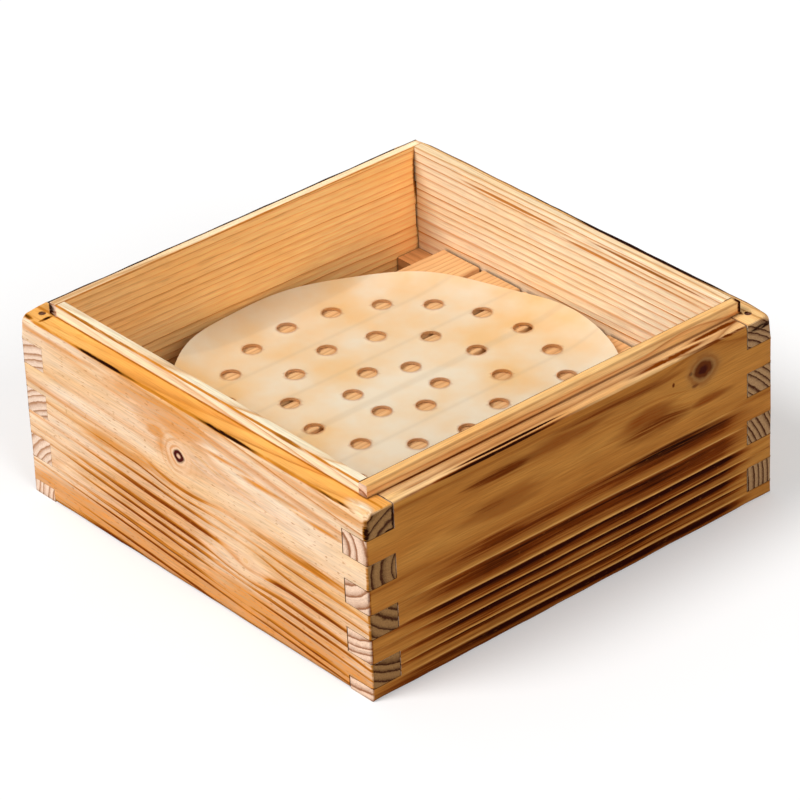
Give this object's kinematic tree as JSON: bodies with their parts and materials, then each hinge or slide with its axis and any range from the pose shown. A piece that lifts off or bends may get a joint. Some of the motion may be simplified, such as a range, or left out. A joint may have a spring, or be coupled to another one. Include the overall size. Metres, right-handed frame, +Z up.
{
  "type": "steamer basket",
  "caption": "Square stacking steamer basket of finger-jointed wood with a rebated rim, a slatted floor on cleats and a loose perforated liner.",
  "frame": {"origin": "middle of the basket's foot edge, on the surface that it stands on", "axes": "+Z up; front and back walls run along X with the front wall at -Y; side walls and floor slats run along Y"},
  "size_m": [0.25, 0.25, 0.1045],
  "materials": {
    "wall_wood": "planed fir, flamed and brushed",
    "floor_wood": "planed fir",
    "nail_steel": "dull wire nail",
    "liner_silicone": "translucent matt silicone"
  },
  "bodies": {
    "basket": {"front_wall": "wall_wood", "back_wall": "wall_wood", "left_wall": "wall_wood", "right_wall": "wall_wood", "front_cleat": "floor_wood", "back_cleat": "floor_wood", "floor_slat_1": "floor_wood", "floor_slat_2": "floor_wood", "floor_slat_3": "floor_wood", "floor_slat_4": "floor_wood", "floor_slat_5": "floor_wood", "floor_slat_6": "floor_wood", "corner_nails": "nail_steel", "slat_brads": "nail_steel", "cleat_brads": "nail_steel"},
    "liner": {"liner": "liner_silicone"}
  },
  "joints": [
    {"name": "liner_lift", "type": "slide", "parent": "basket", "child": "liner", "axis": [0, 0, 1], "range_m": [0, 0.06]}
  ]
}
